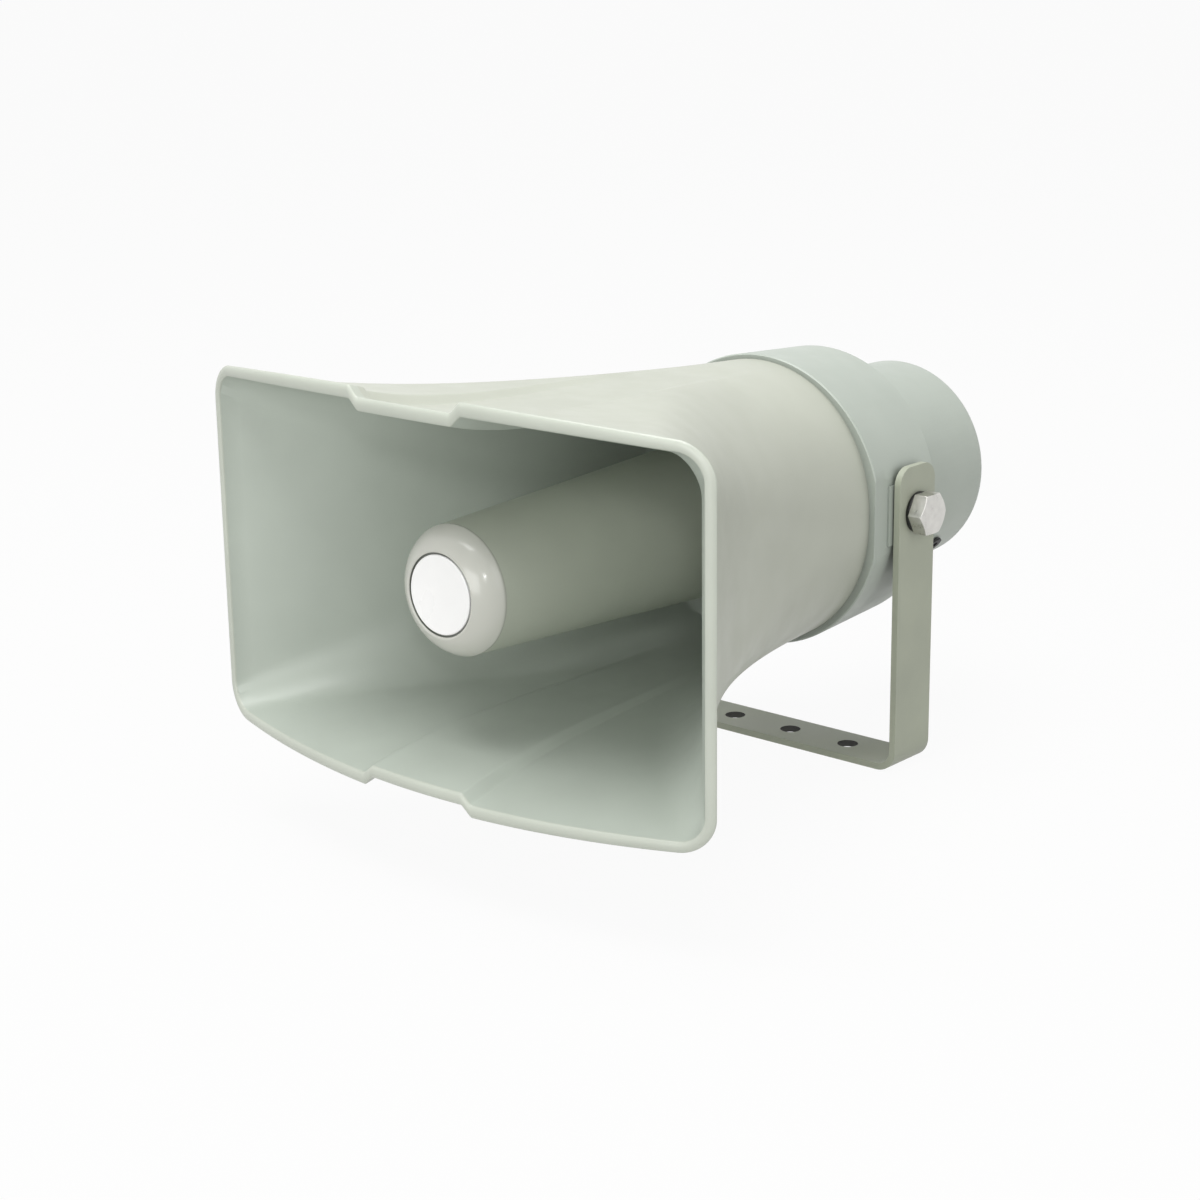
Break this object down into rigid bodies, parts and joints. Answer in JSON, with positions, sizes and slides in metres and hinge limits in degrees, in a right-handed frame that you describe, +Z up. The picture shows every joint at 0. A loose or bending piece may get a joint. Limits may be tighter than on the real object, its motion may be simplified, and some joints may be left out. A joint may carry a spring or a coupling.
{
  "type": "re-entrant horn loudspeaker",
  "caption": "Weatherproof re-entrant horn loudspeaker with a rectangular bell, a round reflector in its mouth, a rear driver can and a U-shaped tilt bracket.",
  "frame": {"origin": "middle of the bracket foot's fixing holes, on the foot's underside", "axes": "+Z up from the foot, mouth of the bell towards -Y, tilt axis along X"},
  "size_m": [0.199, 0.2484, 0.1493],
  "materials": {
    "abs_grey": "grey-green moulded ABS, fine satin texture",
    "bracket_paint": "grey-green powder coat on steel strip",
    "zinc_steel": "bright zinc-plated steel",
    "dark_steel": "blackened spring steel",
    "badge_white": "plain white disc, satin",
    "black_rubber": "black rubber",
    "brass_insert": "knurled brass",
    "steel_plate": "zinc-plated mild steel",
    "ferrite": "sintered ferrite, dark grey",
    "cast_aluminium": "die-cast aluminium",
    "phenolic": "resin-bonded cloth",
    "copper_wire": "enamelled copper winding",
    "terminal_plastic": "ivory moulded plastic",
    "wire_sleeve": "red wire insulation"
  },
  "bodies": {
    "bracket": {"bracket": "bracket_paint", "friction_washers": "black_rubber"},
    "horn": {"pivot_bolts": "zinc_steel", "spring_washers": "dark_steel", "bolt_inserts": "brass_insert", "horn_flare": "abs_grey", "flare_seal": "black_rubber", "rear_housing": "abs_grey", "reflector": "abs_grey", "badge_disc": "badge_white", "throat_tube": "abs_grey", "throat_gasket": "black_rubber", "throat_screws": "zinc_steel", "driver_front_housing": "cast_aluminium", "phase_plug": "cast_aluminium", "diaphragm_surround": "phenolic", "top_plate": "steel_plate", "magnet": "ferrite", "yoke": "steel_plate", "driver_screws": "zinc_steel", "rear_cover": "abs_grey", "cover_gasket": "black_rubber", "cover_screws": "zinc_steel", "cable_grommet": "black_rubber", "terminal_block": "terminal_plastic", "terminal_screws": "brass_insert", "lead_wires": "wire_sleeve"},
    "diaphragm": {"diaphragm_dome": "phenolic", "voice_coil_former": "cast_aluminium", "voice_coil_winding": "copper_wire"}
  },
  "joints": [
    {"name": "horn_tilt", "type": "hinge", "parent": "bracket", "child": "horn", "pos_m": [0, 0, 0.0882], "axis": [-1, 0, 0], "range_deg": [-45, 225]},
    {"name": "diaphragm_travel", "type": "slide", "parent": "horn", "child": "diaphragm", "axis": [0, -1, 0], "range_m": [-0.0004, 0.0004], "stiffness_N_per_m": 1500}
  ]
}
